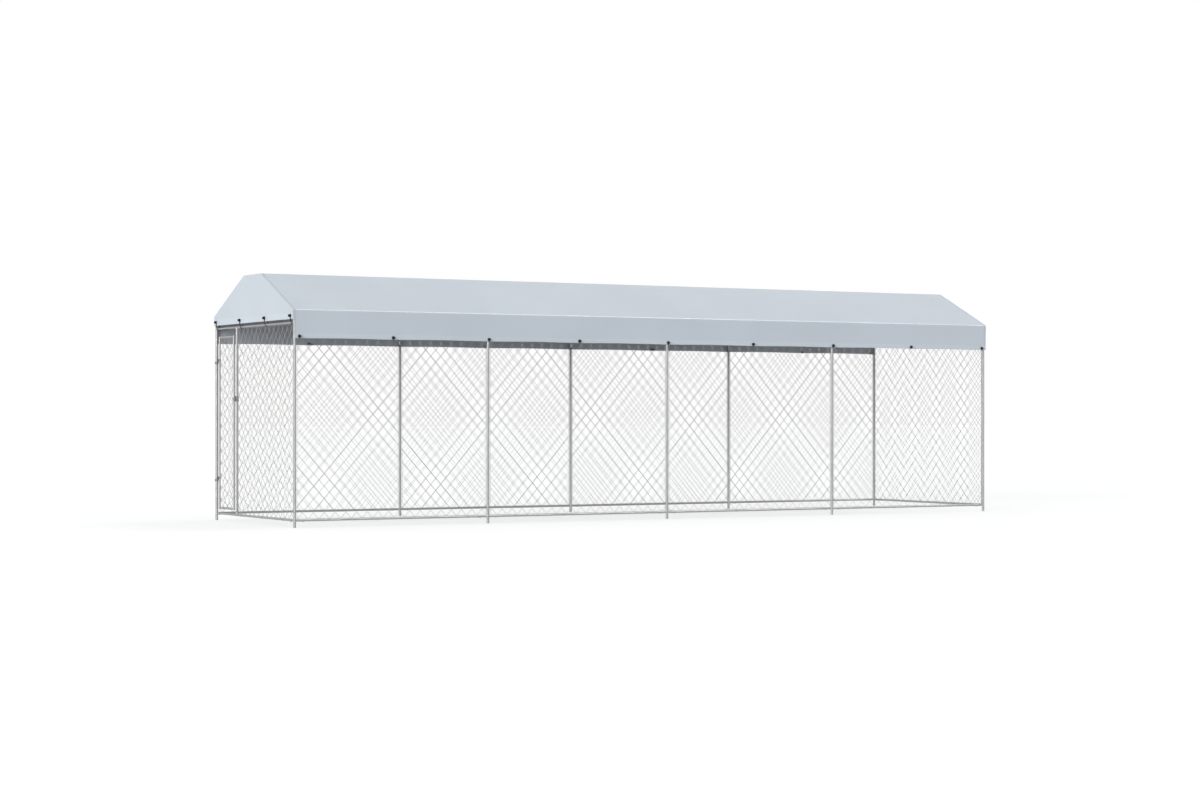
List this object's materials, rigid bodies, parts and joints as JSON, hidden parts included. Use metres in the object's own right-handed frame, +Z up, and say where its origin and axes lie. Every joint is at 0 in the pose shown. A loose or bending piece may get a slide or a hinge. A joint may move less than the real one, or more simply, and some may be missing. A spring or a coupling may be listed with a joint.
{
  "type": "dog kennel run",
  "caption": "Long outdoor dog kennel run of galvanised tube and chain-link net, with a hinged door in one end and a grey sheet roof held down by ball bungees.",
  "frame": {"origin": "centre of the footprint, on the ground", "axes": "+X along the run from the door end to the back end, +Y across it to the far side, +Z up"},
  "size_m": [7.6614, 1.9624, 2.25],
  "materials": {
    "galvanised": "hot-dip galvanised tube, soft sheen",
    "net_wire": "galvanised wire",
    "roof_sheet": "coated woven sheet, faint sheen",
    "dark_zinc": "dark zinc-plated fittings",
    "ball_plastic": "black moulded plastic",
    "elastic": "black covered elastic"
  },
  "bodies": {
    "frame": {"near_post_1": "galvanised", "near_post_2": "galvanised", "near_post_3": "galvanised", "near_post_4": "galvanised", "near_post_5": "galvanised", "far_post_1": "galvanised", "far_post_2": "galvanised", "far_post_3": "galvanised", "far_post_4": "galvanised", "far_post_5": "galvanised", "door_post": "galvanised", "near_bottom_rails": "galvanised", "far_bottom_rails": "galvanised", "door_end_bottom_rail": "galvanised", "back_end_bottom_rail": "galvanised", "near_eave_rails": "galvanised", "far_eave_rails": "galvanised", "door_end_top_rail": "galvanised", "back_end_top_rail": "galvanised", "rail_stubs": "galvanised", "near_eave_connectors": "galvanised", "far_eave_connectors": "galvanised", "near_ridge_connectors": "galvanised", "far_ridge_connectors": "galvanised", "near_rafters": "galvanised", "far_rafters": "galvanised", "roof_ties": "galvanised", "near_purlins": "galvanised", "far_purlins": "galvanised", "near_net_1": "net_wire", "near_net_2": "net_wire", "near_net_3": "net_wire", "near_net_4": "net_wire", "far_net_1": "net_wire", "far_net_2": "net_wire", "far_net_3": "net_wire", "far_net_4": "net_wire", "door_end_net": "net_wire", "back_end_net": "net_wire", "net_ties": "galvanised", "roof_sheet": "roof_sheet", "door_gable": "roof_sheet", "back_gable": "roof_sheet", "eyelets": "galvanised", "bungee_balls": "ball_plastic", "bungee_loops": "elastic", "frame_screws": "dark_zinc", "hinge_bands": "dark_zinc", "hinge_bolts": "dark_zinc", "latch_keeper": "dark_zinc"},
    "door": {"door_hinge_stile": "galvanised", "door_latch_stile": "galvanised", "door_top_rail": "galvanised", "door_bottom_rail": "galvanised", "door_net": "net_wire", "door_ties": "galvanised", "door_straps": "dark_zinc", "strap_bolts": "dark_zinc", "latch_bracket": "dark_zinc"},
    "latch": {"latch_bar": "dark_zinc"}
  },
  "joints": [
    {"name": "door_hinge", "type": "hinge", "parent": "frame", "child": "door", "pos_m": [-3.7875, 0.901, 0.4], "axis": [0, 0, -1], "range_deg": [0, 110]},
    {"name": "latch_pivot", "type": "hinge", "parent": "door", "child": "latch", "pos_m": [-3.7875, 0.481, 1.129], "axis": [1, 0, 0], "range_deg": [-30, 38]}
  ]
}
